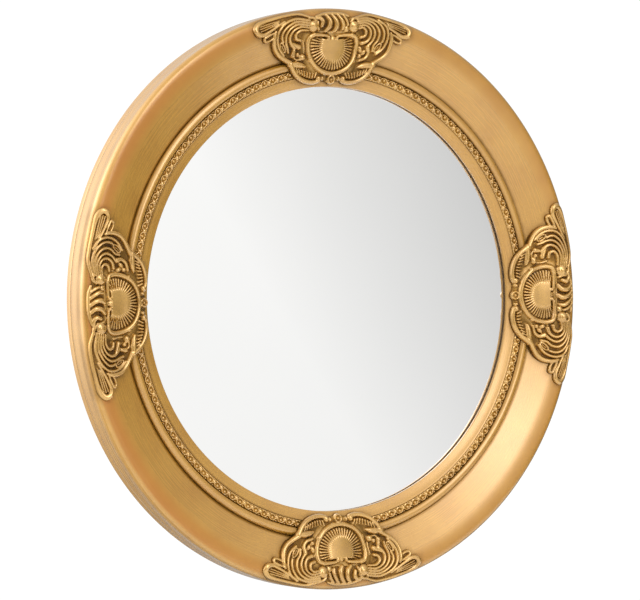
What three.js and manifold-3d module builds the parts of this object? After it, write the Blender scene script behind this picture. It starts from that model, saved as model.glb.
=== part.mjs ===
// Round gilt wall mirror: a turned wooden ring with a deep moulded section, a pressed
// beaded strip laid in a channel of the ring, four applied cast ornaments (shell
// cartouche between feathered wings), a silvered glass, a back board and a keyhole
// hanger plate with its two screws.
//
// Units are millimetres, +Z is up, the front of the mirror faces -Y.
// The origin lies on the wall side of the hanger plate, on the vertical centre line.
//
// The pieces are worked out in "chart" coordinates: x to the right and y upwards as
// seen from the front, both from the mirror's axis, and z = distance d from the wall.
import * as THREE from "three";
import { mergeVertices } from "three/addons/utils/BufferGeometryUtils.js";
import Module from "manifold-3d";

const wasm = await Module();
wasm.setup();

// ---------------------------------------------------------------- driving sizes
const R_OUT = 250; // largest radius of the frame, on the outer roll
const R_BACK = 248.8; // radius of the plain band at the wall
const R_RABBET = 190; // radius of the rabbet that takes the glass and the board
const R_SIGHT = 182.8; // radius of the opening seen from the front
const D_LIP_BACK = 18.3; // underside of the sight lip
const D_SIGHT = 21.2; // front of the sight lip
const R_STRIP_IN = 192.4; // channel of the beaded strip
const R_STRIP_OUT = 198.9;
const D_CHANNEL = 21.0; // floor of that channel
const D_STRIP_TOP = 24.6;
const R_BEAD = 203.0; // half-round bead outside the strip
const BEAD_HALF = 4.0;
const D_BEAD_BASE = 21.4;
const D_BEAD_TOP = 25.7;
const R_BAND_IN = 207.2; // broad sloping band
const R_BAND_OUT = 230;
const BAND_SLOPE = THREE.MathUtils.degToRad(18.5);
const R_CROWN = 243.5; // crest of the frame, where the band turns over
const ROLL_R = 6.5; // radius of the outer roll
const GROOVE_D = 7.1; // fine groove round the edge, near the wall
const GROOVE_DEPTH = 0.9;
const SEG = 48; // facets round the turned pieces

const GAP = 0.3; // play between separate pieces
const GLASS_T = 3.0;
const BOARD_T = 3.0;

const PLATE_W = 18; // hanger plate
const PLATE_T = 1.6;
const PLATE_R_TOP = 215; // its top and bottom ends, measured from the mirror's axis
const PLATE_R_LOW = 164;
const KEY_ENTRY_R = 5; // keyhole: entry hole and slot for a screw shank
const KEY_SLOT_R = 2.4;
const KEY_ENTRY_Y = 172;
const KEY_SLOT_Y = 183;
const SCREW_Y = [196, 209.5]; // fixing screws of the plate
const SCREW_HEAD_R = 3.4;
const SCREW_SHANK_R = 1.5;
const SCREW_L = 12;

const AXIS_DROP = 203; // the mirror's axis lies this far below the hanger's datum

// ornament, measured from its own centre line and from the mirror's axis
const DECK = 2.2; // thickness of the casting between its raised parts
const TIP_X = 79; // outer leaf tip
const TIP_Y = 231;
const SHIELD_HALF = 24; // centre line of the rim of the shell cartouche
const SHIELD_TOP = 226.6;
const SHIELD_TURN = 217; // where the straight sides turn into the half round
const SHIELD_LOW = 195.6;
const RIM_R = 2.4; // half width and height of that rim
const RIM_H = 2.4;
const SHELL_Y = 216; // hub of the shell
const SHELL_HUB_R = 9.5;
const SHELL_HUB_H = 3.8;
const FLUTES = 10;
const FLUTE_OUT = 20.5;
const KNOB_X = 19.5; // boss from which each wing springs
const KNOB_Y = 235.2;
const KNOB_R = 4.3;
const SCROLL_R = 2.1; // half width and height of the C-scrolls that edge the casting
const SCROLL_H = 1.8;
const WING_X = 37; // eye of each wing's feathers
const WING_Y = 226;
const FEATHERS = 3;
const WING_HALF = 8;
const FEATHER_H = 2.2;
const CREST_LEAVES = 3; // leaf tongues above the shield
const CREST_HALF = 13;
const FLOWER_Y = 189;

// ---------------------------------------------------------------- helpers
const D_BAND_IN = D_BEAD_BASE + 0.2;
const D_BAND_OUT = D_BAND_IN + (R_BAND_OUT - R_BAND_IN) * Math.tan(BAND_SLOPE);
const D_CROWN =
  D_BAND_OUT + (R_CROWN - R_BAND_OUT) * Math.tan(BAND_SLOPE / 2);

function solidOf(geometry) {
  const g = geometry.clone();
  g.deleteAttribute("normal");
  g.deleteAttribute("uv");
  const m = mergeVertices(g, 1e-4);
  return new wasm.Manifold(
    new wasm.Mesh({
      numProp: 3,
      vertProperties: new Float32Array(m.attributes.position.array),
      triVerts: new Uint32Array(m.index.array),
    }),
  );
}

function geometryOf(solid) {
  const m = solid.getMesh();
  const g = new THREE.BufferGeometry();
  g.setAttribute(
    "position",
    new THREE.BufferAttribute(new Float32Array(m.vertProperties), 3),
  );
  g.setIndex(new THREE.BufferAttribute(new Uint32Array(m.triVerts), 1));
  g.computeVertexNormals();
  return g;
}

const union = (list) => list.reduce((a, b) => a.add(b));

// A turned piece from (radius, d) points, as a closed ring or from axis to axis.
function turned(points, segments = SEG) {
  const g = new THREE.LatheGeometry(
    points.map(([r, d]) => new THREE.Vector2(r, d)),
    segments,
  );
  g.rotateX(Math.PI / 2); // the lathe's axis becomes the mirror's axis
  const s = solidOf(g);
  if (s.volume() >= 0) return s;
  return turned([...points].reverse(), segments);
}

const lerp = (points, x) => {
  if (x <= points[0][0]) return points[0][1];
  for (let i = 1; i < points.length; i++) {
    const [x1, y1] = points[i];
    const [x0, y0] = points[i - 1];
    if (x <= x1) return y0 + ((y1 - y0) * (x - x0)) / (x1 - x0);
  }
  return points[points.length - 1][1];
};

// ---------------------------------------------------------------- frame section
function bandArc(steps) {
  // the band turns from its slope to level at the crown
  const out = [];
  for (let i = 1; i <= steps; i++) {
    const t = i / steps;
    out.push([
      R_BAND_OUT + (R_CROWN - R_BAND_OUT) * t,
      D_BAND_OUT + (D_CROWN - D_BAND_OUT) * (2 * t - t * t),
    ]);
  }
  return out;
}
function rollArc(steps) {
  const out = [];
  for (let i = 1; i <= steps; i++) {
    const a = (Math.PI / 2) * (i / steps);
    out.push([
      R_CROWN + ROLL_R * Math.sin(a),
      D_CROWN - ROLL_R + ROLL_R * Math.cos(a),
    ]);
  }
  return out;
}
function beadArc(steps) {
  const out = [];
  for (let i = 0; i <= steps; i++) {
    const a = Math.PI * (i / steps);
    out.push([
      R_BEAD - BEAD_HALF * Math.cos(a),
      D_BEAD_BASE + (D_BEAD_TOP - D_BEAD_BASE) * Math.sin(a),
    ]);
  }
  return out;
}
const section = [
  [R_RABBET, 0],
  [R_RABBET, D_LIP_BACK],
  [R_SIGHT, D_LIP_BACK],
  [R_SIGHT, D_SIGHT - 0.2],
  [R_STRIP_IN, 23.3],
  [R_STRIP_IN, D_CHANNEL],
  [R_STRIP_OUT, D_CHANNEL],
  ...beadArc(3),
  [R_BAND_IN, D_BAND_IN],
  [R_BAND_OUT, D_BAND_OUT],
  ...bandArc(2),
  ...rollArc(3),
  [R_BACK + 0.4, GROOVE_D + 0.7],
  [R_BACK - GROOVE_DEPTH, GROOVE_D],
  [R_BACK, GROOVE_D - 0.7],
  [R_BACK, 0],
  [R_RABBET, 0],
];

// ---------------------------------------------------------------- keyhole plate outline
function plateOutline(grow) {
  const s = new THREE.Shape();
  const w = PLATE_W / 2 + grow;
  s.moveTo(-w, PLATE_R_LOW + w - grow);
  s.absarc(0, PLATE_R_LOW + w - grow, w, Math.PI, 2 * Math.PI, false);
  s.lineTo(w, PLATE_R_TOP + grow);
  s.lineTo(-w, PLATE_R_TOP + grow);
  s.closePath();
  return s;
}
function extruded(shape, depth, curveSegments = 6) {
  return new THREE.ExtrudeGeometry(shape, {
    depth,
    bevelEnabled: false,
    curveSegments,
  });
}
function peg(radius, length, y, d) {
  const g = new THREE.CylinderGeometry(radius, radius, length, 12);
  g.rotateX(Math.PI / 2);
  g.translate(0, y, d + length / 2);
  return solidOf(g);
}
function screwShape(grow) {
  // countersunk: head at the wall side (d = 0), point inside the frame
  const h = SCREW_HEAD_R - SCREW_SHANK_R;
  return [
    [0, 0.15 - (grow ? 0.6 : 0)],
    [SCREW_HEAD_R + grow, 0.15 - (grow ? 0.6 : 0)],
    [SCREW_HEAD_R + grow, 0.4],
    [SCREW_SHANK_R + grow, 0.4 + h],
    [SCREW_SHANK_R + grow, SCREW_L - 2 + grow],
    [0, SCREW_L + grow],
  ];
}
function screw(y, grow) {
  return turned(screwShape(grow), 12).translate([0, y, 0]);
}

// ---------------------------------------------------------------- frame
const housing = solidOf(
  extruded(plateOutline(GAP), PLATE_T + GAP + 1).translate(0, 0, -1),
);
const frameSolid = turned(section)
  .subtract(housing)
  .subtract(union(SCREW_Y.map((y) => screw(y, GAP))));

// ---------------------------------------------------------------- beaded strip
const stripIn = R_STRIP_IN + GAP;
const stripOut = R_STRIP_OUT - GAP;
const stripSolid = turned([
  [stripIn, D_CHANNEL + GAP],
  [stripOut, D_CHANNEL + GAP],
  [stripOut, D_STRIP_TOP - 1.6],
  [(stripIn + stripOut) / 2, D_STRIP_TOP],
  [stripIn, D_STRIP_TOP - 1.6],
  [stripIn, D_CHANNEL + GAP],
]);

// ---------------------------------------------------------------- glass and board
const dGlassFront = D_LIP_BACK - GAP;
const dGlassBack = dGlassFront - GLASS_T;
const dBoardFront = dGlassBack - GAP;
const dBoardBack = dBoardFront - BOARD_T;
const rPane = R_RABBET - 0.8;
const disc = (d0, d1) =>
  turned([
    [0, d0],
    [rPane, d0],
    [rPane, d1],
    [0, d1],
  ]);

// ---------------------------------------------------------------- hanger plate
const key = new THREE.Path();
const keyTilt = Math.asin(KEY_SLOT_R / KEY_ENTRY_R);
key.absarc(
  0,
  KEY_ENTRY_Y,
  KEY_ENTRY_R,
  Math.PI / 2 + keyTilt,
  Math.PI * 2.5 - keyTilt,
  false,
);
key.absarc(0, KEY_SLOT_Y, KEY_SLOT_R, 0, Math.PI, false);
key.closePath();
const plateShape = plateOutline(0);
plateShape.holes.push(key);
const plateSolid = solidOf(extruded(plateShape, PLATE_T, 5)).subtract(
  union(SCREW_Y.map((y) => screw(y, GAP))),
);

// ---------------------------------------------------------------- ornament casting
// The underside lies on the band and the bead and bridges the hollow between them.
const underside = [
  [182.4, D_SIGHT + GAP],
  [194.2, D_STRIP_TOP + GAP + 0.1],
  [200.6, D_BEAD_TOP + GAP],
  [205.0, D_BEAD_TOP + GAP],
  [213.5, D_BAND_IN + 6.3 * Math.tan(BAND_SLOPE) + GAP + 0.15],
  [R_BAND_OUT, D_BAND_OUT + GAP + 0.2],
  [(R_BAND_OUT + R_CROWN) / 2, D_BAND_OUT + 0.75 * (D_CROWN - D_BAND_OUT) + GAP + 0.2],
  [R_CROWN, D_CROWN + GAP + 0.2],
  [R_CROWN + 5.5, D_CROWN - 1.9 + GAP],
];
const topside = [
  [182.4, D_SIGHT + GAP + DECK],
  [201.5, D_BEAD_TOP + GAP + DECK],
  [R_BAND_OUT, D_BAND_OUT + GAP + DECK],
  [R_CROWN, D_CROWN + GAP + DECK],
  [R_CROWN + 5.5, D_CROWN - 1.9 + GAP + DECK],
];
const at = (u, v, lift = 0) =>
  new THREE.Vector3(u, v, lerp(topside, Math.hypot(u, v)) + lift);

const bedding = turned([
  [underside[0][0], 0],
  ...underside,
  [underside[underside.length - 1][0], 0],
  [underside[0][0], 0],
]);
const deckShell = turned([
  ...underside,
  ...[...topside].reverse(),
  underside[0],
]);

// Outline of one wing, from the crest to the flower (x to the right).
const wing = [
  [14, 247],
  [23, 246.2],
  [46, 243],
  [66, 238],
  [TIP_X, TIP_Y + 2.5],
  [TIP_X - 1.5, TIP_Y - 4.5],
  [69, 222.6],
  [60.5, 223.6],
  [58, 215],
  [51, 207],
  [42.5, 203],
  [38, 195],
  [28, 188.6],
  [14, 186],
  [4.5, 184.6],
];
const outline = new THREE.Shape();
const half = new THREE.CatmullRomCurve3(
  wing.map(([x, y]) => new THREE.Vector3(x, y, 0)),
  false,
  "centripetal",
).getPoints(18);
outline.moveTo(half[0].x, half[0].y);
half.slice(1).forEach((p) => outline.lineTo(p.x, p.y));
[...half].reverse().forEach((p) => outline.lineTo(-p.x, p.y));
outline.closePath();

// A closed body from vertex and face lists, turned to face outwards.
function bodyOf(vertices, faces) {
  const g = new THREE.BufferGeometry();
  g.setAttribute("position", new THREE.Float32BufferAttribute(vertices, 3));
  g.setIndex(faces);
  const s = solidOf(g);
  if (s.volume() > 0) return s;
  const turnedFaces = [];
  for (let i = 0; i < faces.length; i += 3)
    turnedFaces.push(faces[i], faces[i + 2], faces[i + 1]);
  g.setIndex(turnedFaces);
  return solidOf(g);
}

// Raised carving that follows points on the casting's surface. Its section has one
// flat-topped ridge, or several sharp ones side by side, and a foot under the deck. A
// level section stays square to the casting's centre line.
function ridge(points, halfWidth, height, steps, count = 1, level = false) {
  const curve = new THREE.CatmullRomCurve3(
    points.map(([u, v]) => at(u, v)),
  );
  const corners = [
    [-1, -0.5],
    [1, -0.5],
  ];
  if (count === 1) corners.push([0.45, height], [-0.45, height]);
  else
    for (let i = 2 * count - 2; i >= 0; i--)
      corners.push([
        ((i + 1) / count - 1) * (1 - 0.25 / count),
        i % 2 ? height * 0.2 : height,
      ]);
  const n = corners.length;
  const vertices = [];
  const faces = [];
  for (let i = 0; i <= steps; i++) {
    const p = curve.getPointAt(i / steps);
    const t = curve.getTangentAt(i / steps);
    const across = new THREE.Vector3(-t.y, level ? 0 : t.x, 0).normalize();
    corners.forEach(([k, z]) => {
      const w = k * halfWidth;
      vertices.push(p.x + across.x * w, p.y + across.y * w, p.z + z);
    });
    if (!i) continue;
    for (let c = 0; c < n; c++) {
      const a0 = n * (i - 1) + c;
      const a1 = n * (i - 1) + ((c + 1) % n);
      faces.push(a0, a1, a1 + n, a0, a1 + n, a0 + n);
    }
  }
  const cap = THREE.ShapeUtils.triangulateShape(
    corners.map(([k, z]) => new THREE.Vector2(k * halfWidth, z)),
    [],
  );
  cap.forEach(([i, j, k]) => {
    faces.push(i, k, j);
    faces.push(n * steps + i, n * steps + j, n * steps + k);
  });
  return bodyOf(vertices, faces);
}

// The shell: a smooth hub with alternating ribs and hollows fanned out to the rim.
function shell() {
  const n = 2 * FLUTES;
  const rings = [
    [SHELL_HUB_R, 2.6, 2.6],
    [1, 1.3, -0.2],
    [1, -0.8, -0.8],
  ];
  const hub = at(0, SHELL_Y, SHELL_HUB_H);
  const vertices = [hub.x, hub.y, hub.z];
  const faces = [];
  rings.forEach(([radius, high, low], k) => {
    for (let i = 0; i < n; i++) {
      const a = (2 * Math.PI * i) / n;
      const c = Math.cos(a);
      const s = Math.sin(a);
      const head = (SHIELD_TOP - RIM_R - SHELL_Y) / Math.max(s, 1e-3);
      const reach = k ? Math.min(FLUTE_OUT, s > 0 ? head : FLUTE_OUT) : Math.min(radius, s > 0 ? 0.8 * head : radius);
      const p = at(reach * c, SHELL_Y + reach * s, i % 2 ? low : high);
      vertices.push(p.x, p.y, p.z);
    }
  });
  const foot = at(0, SHELL_Y, -0.8);
  vertices.push(foot.x, foot.y, foot.z);
  for (let i = 0; i < n; i++) {
    const j = (i + 1) % n;
    faces.push(0, 1 + i, 1 + j);
    for (let k = 0; k < 2; k++) {
      const a = 1 + k * n;
      faces.push(a + i, a + n + i, a + n + j, a + i, a + n + j, a + j);
    }
    faces.push(1 + 3 * n, 1 + 2 * n + j, 1 + 2 * n + i);
  }
  return bodyOf(vertices, faces);
}
function lump(u, v, rx, ry, rz, around = 6, down = 4) {
  const g = new THREE.SphereGeometry(1, around, down);
  g.rotateX(Math.PI / 2);
  g.scale(rx, ry, rz);
  const c = at(u, v);
  g.translate(c.x, c.y, c.z);
  return solidOf(g);
}
const arc = (cx, cy, rx, ry, a0, a1, n) =>
  Array.from({ length: n + 1 }, (_, i) => {
    const a = THREE.MathUtils.degToRad(a0 + ((a1 - a0) * i) / n);
    return [cx + rx * Math.cos(a), cy + ry * Math.sin(a)];
  });

function makeOrnament() {
  const relief = [
    shell(),
    // shield rim: straight sides and a half-round foot, then its level top
    ridge(
      [
        [SHIELD_HALF, SHIELD_TOP],
        ...arc(0, SHIELD_TURN, SHIELD_HALF, SHIELD_TURN - SHIELD_LOW, 0, -180, 8),
        [-SHIELD_HALF, SHIELD_TOP],
      ],
      RIM_R,
      RIM_H,
      10,
    ),
    ridge(
      [
        [-SHIELD_HALF - RIM_R, SHIELD_TOP],
        [0, SHIELD_TOP],
        [SHIELD_HALF + RIM_R, SHIELD_TOP],
      ],
      RIM_R,
      RIM_H,
      1,
    ),
    // crest of leaf tongues over the shield
    ridge(
      [
        [-2.2, 246],
        [1.6, 238.5],
        [-0.6, 230],
      ],
      CREST_HALF,
      2.2,
      2,
      CREST_LEAVES,
      true,
    ),
    // flower between the two lower scrolls
    lump(0, FLOWER_Y, 4.4, 4.4, 2.4, 6, 4),
  ];
  for (const side of [-1, 1]) {
    const flip = (pts) => pts.map(([u, v]) => [u * side, v]);
    relief.push(
      // C-scrolls that edge the wing, upper and lower
      ridge(
        flip([
          [60, 226],
          [57.3, 215.5],
          [50.5, 209],
          [41, 203.6],
        ]),
        SCROLL_R,
        SCROLL_H,
        3,
      ),
      ridge(
        flip([
          [41, 202],
          [36, 195],
          [27, 189.8],
          [12, 188.4],
        ]),
        SCROLL_R,
        SCROLL_H,
        3,
      ),
      // boss, and the feathers swept from it round the wing's eye
      lump(KNOB_X * side, KNOB_Y, KNOB_R, KNOB_R, 3.2, 6, 4),
      ridge(
        flip([
          [KNOB_X + 4, KNOB_Y + 3],
          [WING_X + 2, WING_Y + 11],
          [WING_X + 10.5, WING_Y + 1],
          [WING_X + 8.5, WING_Y - 11.5],
        ]),
        WING_HALF,
        FEATHER_H,
        3,
        FEATHERS,
      ),
      // leaf tip, drop leaf and tongue
      ridge(
        flip([
          [48, 240.5],
          [62, 236],
          [TIP_X - 2, TIP_Y],
        ]),
        3.6,
        1.7,
        2,
      ),
      ridge(
        flip([
          [30, 221],
          [36, 210],
        ]),
        3,
        2.2,
        1,
      ),
      ridge(
        flip([
          [37, 201.5],
          [27, 197],
        ]),
        2.6,
        2.2,
        1,
      ),
    );
  }
  const column = solidOf(extruded(outline, 60, 1));
  const deck = deckShell.intersect(column);
  return union([deck, ...relief]).subtract(bedding);
}
const ornamentSolid = makeOrnament();

// ---------------------------------------------------------------- scene graph
const gilt = new THREE.MeshStandardMaterial({
  color: 0xb98a48,
  roughness: 0.4,
  metalness: 0.6,
});
const patina = new THREE.MeshStandardMaterial({
  color: 0xae8040,
  roughness: 0.42,
  metalness: 0.6,
});
const silvered = new THREE.MeshStandardMaterial({
  color: 0xe9ecec,
  roughness: 0.02,
  metalness: 1.0,
});
const hardboard = new THREE.MeshStandardMaterial({
  color: 0x6f4f33,
  roughness: 0.85,
  metalness: 0.0,
});
const steel = new THREE.MeshStandardMaterial({
  color: 0xb9bcc0,
  roughness: 0.35,
  metalness: 1.0,
});

const chart = new THREE.Group(); // chart axes to the part's axes
chart.rotation.x = Math.PI / 2;
chart.position.z = -AXIS_DROP;

function piece(name, solid, material, turn = 0) {
  const mesh = new THREE.Mesh(geometryOf(solid), material);
  mesh.name = name;
  mesh.rotation.z = turn;
  chart.add(mesh);
  return mesh;
}
piece("frame", frameSolid, gilt);
piece("beaded_strip", stripSolid, patina);
piece("mirror_glass", disc(dGlassBack, dGlassFront), silvered);
piece("back_board", disc(dBoardBack, dBoardFront), hardboard);
piece("hanger_plate", plateSolid, steel);
SCREW_Y.forEach((y, i) =>
  piece(i ? "screw_upper" : "screw_lower", screw(y, 0), steel),
);
["top", "right", "bottom", "left"].forEach((side, i) =>
  piece("ornament_" + side, ornamentSolid, patina, (-i * Math.PI) / 2),
);

const wallMirror = new THREE.Group();
wallMirror.name = "wall_mirror";
wallMirror.add(chart);

export default wallMirror;
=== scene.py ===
"""Round gilt wall mirror: fine surfaces, finishes, studio light and camera.

Lengths are millimetres in the shape functions and metres in the scene. The pieces are
worked out in "chart" coordinates: u to the right and v upwards as seen from the front,
both from the mirror's axis, and d = distance from the wall.
"""
import math

import bpy
import numpy as np
from mathutils import Matrix, Vector


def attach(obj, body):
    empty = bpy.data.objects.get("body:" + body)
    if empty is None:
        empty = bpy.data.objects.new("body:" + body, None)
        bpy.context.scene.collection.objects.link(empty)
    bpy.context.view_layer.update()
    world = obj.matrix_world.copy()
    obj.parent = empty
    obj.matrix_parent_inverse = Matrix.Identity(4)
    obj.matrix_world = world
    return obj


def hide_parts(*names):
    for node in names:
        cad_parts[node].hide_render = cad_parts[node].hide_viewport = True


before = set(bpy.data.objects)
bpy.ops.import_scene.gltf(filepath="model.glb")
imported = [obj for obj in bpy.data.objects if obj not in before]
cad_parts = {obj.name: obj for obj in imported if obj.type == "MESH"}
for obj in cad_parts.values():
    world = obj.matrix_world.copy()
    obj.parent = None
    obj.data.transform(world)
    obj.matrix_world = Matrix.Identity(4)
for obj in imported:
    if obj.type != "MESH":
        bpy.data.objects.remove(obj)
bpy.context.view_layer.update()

AXIS_Z = -203.0  # height of the mirror's axis in the part's frame

# frame section, as in the solid model
R_OUT, R_BACK, R_RABBET, R_SIGHT = 250.0, 248.8, 190.0, 182.8
D_LIP_BACK, D_SIGHT = 18.3, 21.2
R_STRIP_IN, R_STRIP_OUT, D_CHANNEL, D_STRIP_TOP = 192.4, 198.9, 21.0, 24.6
R_BEAD, BEAD_HALF, D_BEAD_BASE, D_BEAD_TOP = 203.0, 4.0, 21.4, 25.7
R_BAND_IN, R_BAND_OUT, BAND_SLOPE = 207.2, 230.0, math.radians(18.5)
R_CROWN, ROLL_R, GROOVE_D, GROOVE_DEPTH = 243.5, 6.5, 7.1, 0.9
D_BAND_IN = D_BEAD_BASE + 0.2
D_BAND_OUT = D_BAND_IN + (R_BAND_OUT - R_BAND_IN) * math.tan(BAND_SLOPE)
D_CROWN = D_BAND_OUT + (R_CROWN - R_BAND_OUT) * math.tan(BAND_SLOPE / 2)

PLATE_W, PLATE_T, PLATE_R_TOP, PLATE_R_LOW = 18.0, 1.6, 215.0, 164.0
KEY_ENTRY_R, KEY_SLOT_R, KEY_ENTRY_Y, KEY_SLOT_Y = 5.0, 2.4, 172.0, 183.0
SCREW_Y = (196.0, 209.5)
SCREW_HEAD_R, SCREW_SHANK_R, SCREW_L = 3.4, 1.5, 12.0

PEARLS = 140  # repeats of the beaded strip
rng = np.random.default_rng(7)


# ---------------------------------------------------------------- relief of the castings
CAST = 0.9944          # casting sizes to the frame's scale


def curve(points, step=0.25):
    """Points along a smooth curve through the given points, with the running share of its length."""
    p = np.asarray(points, dtype=np.float64)
    if len(p) == 2:
        p = np.array([p[0], (p[0] + p[1]) / 2, p[1]])
    gap = np.maximum(np.hypot(*np.diff(p, axis=0).T), 1e-6) ** 0.5
    t = np.concatenate([[0.0], np.cumsum(gap)])
    first = 2 * p[0] - p[1]
    last = 2 * p[-1] - p[-2]
    q = np.vstack([first, p, last])
    tq = np.concatenate([[t[0] - gap[0]], t, [t[-1] + gap[-1]]])
    out, share = [], []
    for i in range(len(p) - 1):
        t0, t1, t2, t3 = tq[i : i + 4]
        a, b, c, d = q[i : i + 4]
        n = max(2, int(np.hypot(*(c - b)) / step) + 1)
        s = np.linspace(t1, t2, n, endpoint=(i == len(p) - 2))[:, None]
        a1 = (t1 - s) / (t1 - t0) * a + (s - t0) / (t1 - t0) * b
        a2 = (t2 - s) / (t2 - t1) * b + (s - t1) / (t2 - t1) * c
        a3 = (t3 - s) / (t3 - t2) * c + (s - t2) / (t3 - t2) * d
        b1 = (t2 - s) / (t2 - t0) * a1 + (s - t0) / (t2 - t0) * a2
        b2 = (t3 - s) / (t3 - t1) * a2 + (s - t1) / (t3 - t1) * a3
        out.append((t2 - s) / (t2 - t1) * b1 + (s - t1) / (t2 - t1) * b2)
        share.append((i + (s[:, 0] - t1) / (t2 - t1)) / (len(p) - 1))
    return np.vstack(out), np.concatenate(share)


class Relief:
    """Heights over a flat chart, built up from ridges, lumps and cuts. Sizes in millimetres."""

    def __init__(self, u0, u1, v0, v1, step):
        self.step = step
        self.u = np.arange(u0, u1 + step / 2, step)
        self.v = np.arange(v0, v1 + step / 2, step)
        self.U, self.V = np.meshgrid(self.u, self.v)
        self.H = np.zeros_like(self.U)
        self.S = np.full_like(self.U, -1e3)  # how far inside the outline

    def window(self, lo, hi):
        i0, i1 = np.searchsorted(self.v, [lo[1], hi[1]])
        j0, j1 = np.searchsorted(self.u, [lo[0], hi[0]])
        return slice(max(i0 - 1, 0), i1 + 1), slice(max(j0 - 1, 0), j1 + 1)

    def near(self, points, width):
        p, share = curve(np.asarray(points) * CAST)
        w = np.interp(share, np.linspace(0, 1, np.size(width)), np.atleast_1d(width))
        reach = w.max() + 2.0
        box = self.window(p.min(0) - reach, p.max(0) + reach)
        u, v = self.U[box], self.V[box]
        best = np.full(u.shape, np.inf)
        which = np.zeros(u.shape, dtype=int)
        for i in range(len(p)):
            d2 = ((u - p[i, 0]) ** 2 + (v - p[i, 1]) ** 2) / w[i] ** 2
            closer = d2 < best
            best[closer] = d2[closer]
            which[closer] = i
        return box, best, share[which], w[which]

    def ridge(self, points, width, height, outline=True, flat=0.5):
        box, q, share, w = self.near(points, width)
        h = np.interp(share, np.linspace(0, 1, np.size(height)), np.atleast_1d(height))
        z = h * np.clip(1 - q, 0, 1) ** flat
        self.H[box] = np.maximum(self.H[box], z)
        if outline:
            self.S[box] = np.maximum(self.S[box], w * (1 - np.sqrt(q)))

    def cut(self, points, width, depth):
        box, q, share, w = self.near(points, width)
        d = np.interp(share, np.linspace(0, 1, np.size(depth)), np.atleast_1d(depth))
        self.H[box] -= np.minimum(d * np.clip(1 - q, 0, 1), np.maximum(self.H[box] - 0.15, 0))

    def lump(self, u, v, ru, rv, height, turn=0.0, outline=True, flat=0.5):
        u, v = u * CAST, v * CAST
        reach = max(ru, rv) + 2
        box = self.window((u - reach, v - reach), (u + reach, v + reach))
        c, s = math.cos(math.radians(turn)), math.sin(math.radians(turn))
        x, y = self.U[box] - u, self.V[box] - v
        q = ((x * c + y * s) / ru) ** 2 + ((y * c - x * s) / rv) ** 2
        self.H[box] = np.maximum(self.H[box], height * np.clip(1 - q, 0, 1) ** flat)
        if outline:
            self.S[box] = np.maximum(self.S[box], min(ru, rv) * (1 - np.sqrt(q)))

    def ring(self, u, v, ru, rv, width, height, turn=0.0, outline=False):
        a = np.linspace(0, 2 * np.pi, 25)
        c, s = math.cos(math.radians(turn)), math.sin(math.radians(turn))
        x, y = ru * np.cos(a), rv * np.sin(a)
        self.ridge(np.stack([u + x * c - y * s, v + x * s + y * c], 1), width, height, outline)

    def inside(self, polygon):
        """Distance inside (positive) or outside (negative) a closed polygon."""
        p = np.asarray(polygon) * CAST
        q = np.roll(p, -1, axis=0)
        best = np.full(self.U.shape, np.inf)
        odd = np.zeros(self.U.shape, dtype=bool)
        for (x0, y0), (x1, y1) in zip(p, q):
            dx, dy = x1 - x0, y1 - y0
            k = np.clip(((self.U - x0) * dx + (self.V - y0) * dy) / (dx * dx + dy * dy + 1e-12), 0, 1)
            best = np.minimum(best, (self.U - x0 - k * dx) ** 2 + (self.V - y0 - k * dy) ** 2)
            over = (y0 > self.V) != (y1 > self.V)
            odd ^= over & (self.U < x0 + (self.V - y0) / (dy if dy else 1e-9) * dx)
        return np.where(odd, 1, -1) * np.sqrt(best)


def blur(a, cells):
    if cells < 0.3:
        return a
    n = max(1, int(3 * cells))
    k = np.exp(-0.5 * (np.arange(-n, n + 1) / cells) ** 2)
    k /= k.sum()
    for axis in (0, 1):
        pad = [(0, 0), (0, 0)]
        pad[axis] = (n, n)
        b = np.pad(a, pad, mode="edge")
        a = sum(k[i] * np.take(b, range(i, i + a.shape[axis]), axis=axis) for i in range(2 * n + 1))
    return a


# centre lines that bound the casting, right half, from the crest to the flower
C_UPPER = [(58.6, 230), (59.6, 226), (59.4, 220.5), (57.4, 214.6), (53.2, 209.8), (47, 206.2), (41.8, 203.6)]
C_LOWER = [(41.2, 201), (37.4, 195.4), (32.2, 191), (25.6, 188.2), (17.8, 187.3), (12.8, 188.4)]


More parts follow.
